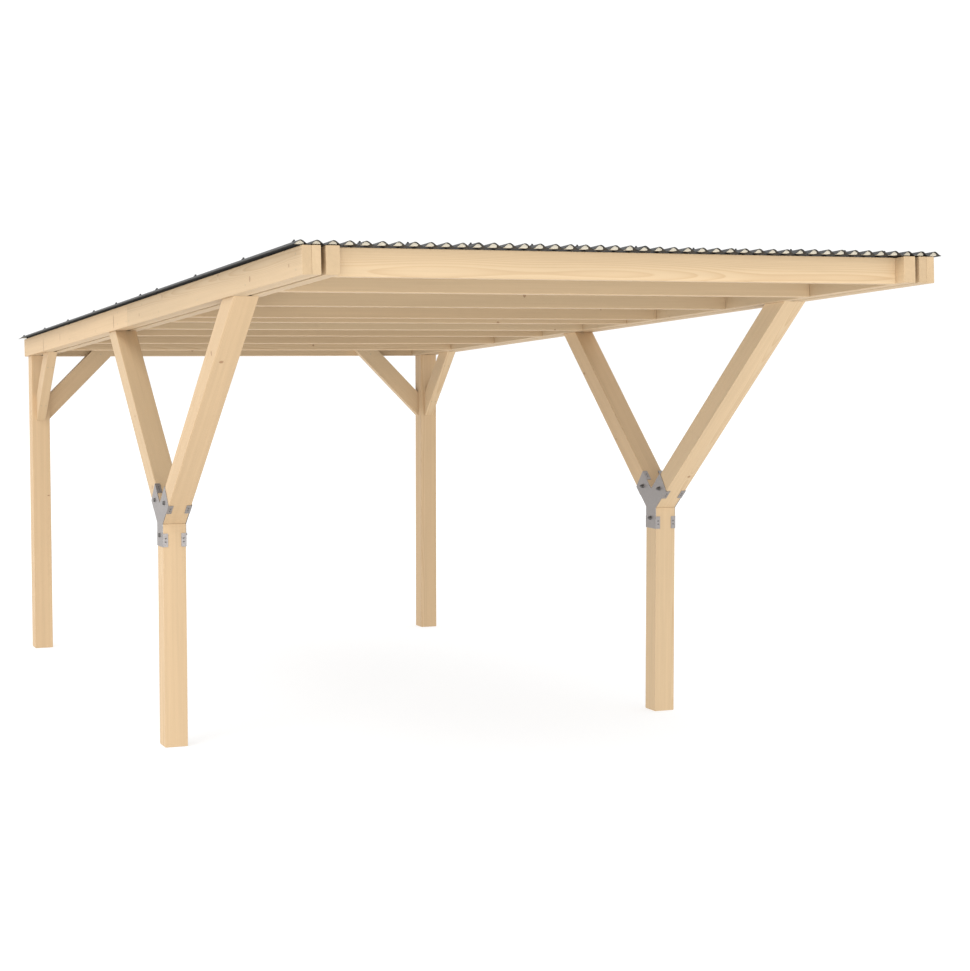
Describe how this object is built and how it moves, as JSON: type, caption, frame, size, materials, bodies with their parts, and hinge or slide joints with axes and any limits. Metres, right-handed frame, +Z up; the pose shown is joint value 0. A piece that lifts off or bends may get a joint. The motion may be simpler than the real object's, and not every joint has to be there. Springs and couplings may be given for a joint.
{
  "type": "open single carport",
  "caption": "Open single carport of planed timber with two Y-shaped side forks, two braced rear posts and a corrugated roof that falls to the rear.",
  "frame": {"origin": "on the ground, at the middle of the whole carport's bounding box seen from above", "axes": "+Z up, +Y from the open, higher front end to the rear, +X to the right seen from the front"},
  "size_m": [3.08, 6.528, 2.5184],
  "materials": {
    "timber": "planed spruce with a clear matt stain",
    "fork_steel": "galvanised steel plate, matt grey",
    "roof_sheet": "anthracite coated corrugated sheet, satin"
  },
  "bodies": {
    "root": {"post_rear_left": "timber", "post_rear_right": "timber", "fork_post_left": "timber", "fork_post_right": "timber", "arm_front_left": "timber", "arm_front_right": "timber", "arm_rear_left": "timber", "arm_rear_right": "timber", "fork_plate_left_outer": "fork_steel", "fork_plate_left_inner": "fork_steel", "fork_plate_right_outer": "fork_steel", "fork_plate_right_inner": "fork_steel", "brace_side_left": "timber", "brace_side_right": "timber", "brace_rear_left": "timber", "brace_rear_right": "timber", "fascia_left_front": "timber", "fascia_left_rear": "timber", "fascia_right_front": "timber", "fascia_right_rear": "timber", "side_board_left": "timber", "side_board_right": "timber", "side_beam_left_front": "timber", "side_beam_left_rear": "timber", "side_beam_right_front": "timber", "side_beam_right_rear": "timber", "front_board": "timber", "cross_beam_1": "timber", "cross_beam_2": "timber", "cross_beam_3": "timber", "cross_beam_4": "timber", "cross_beam_5": "timber", "cross_beam_6": "timber", "cross_beam_7": "timber", "cross_beam_8": "timber", "rear_beam": "timber", "roof_sheet_1": "roof_sheet", "roof_sheet_2": "roof_sheet", "roof_sheet_3": "roof_sheet", "roof_sheet_4": "roof_sheet"}
  },
  "joints": []
}
